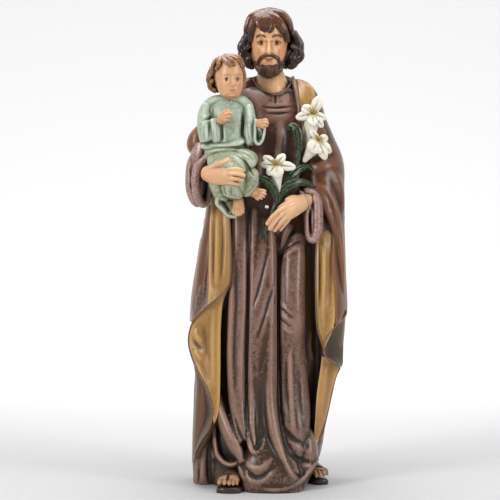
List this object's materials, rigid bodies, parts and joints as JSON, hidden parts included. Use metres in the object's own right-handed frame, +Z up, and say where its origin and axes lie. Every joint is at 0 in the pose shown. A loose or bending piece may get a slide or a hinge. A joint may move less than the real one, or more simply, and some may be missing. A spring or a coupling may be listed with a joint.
{
  "type": "religious statue",
  "caption": "Standing painted resin statue of a bearded saint in a long tunic and mantle, carrying a small child on one arm and white lilies in the other hand.",
  "frame": {"origin": "on the flat underside, below the figure's own middle line", "axes": "+Z up along the standing figure, -Y the way the saint faces, +X towards the hand with the lilies"},
  "size_m": [0.1626, 0.1527, 0.4754],
  "materials": {
    "tunic": "satin paint, plum brown with dark wash in the folds",
    "mantle": "satin paint, warm brown",
    "lining": "satin paint, ochre",
    "dress": "satin paint, sage green",
    "skin": "satin paint, flesh",
    "hair": "satin paint, brown",
    "flowers": "satin paint, cream white",
    "leaves": "satin paint, dark green",
    "sandals": "satin paint, dark brown"
  },
  "bodies": {
    "root": {"saint_joseph_statue": "tunic"}
  },
  "joints": []
}
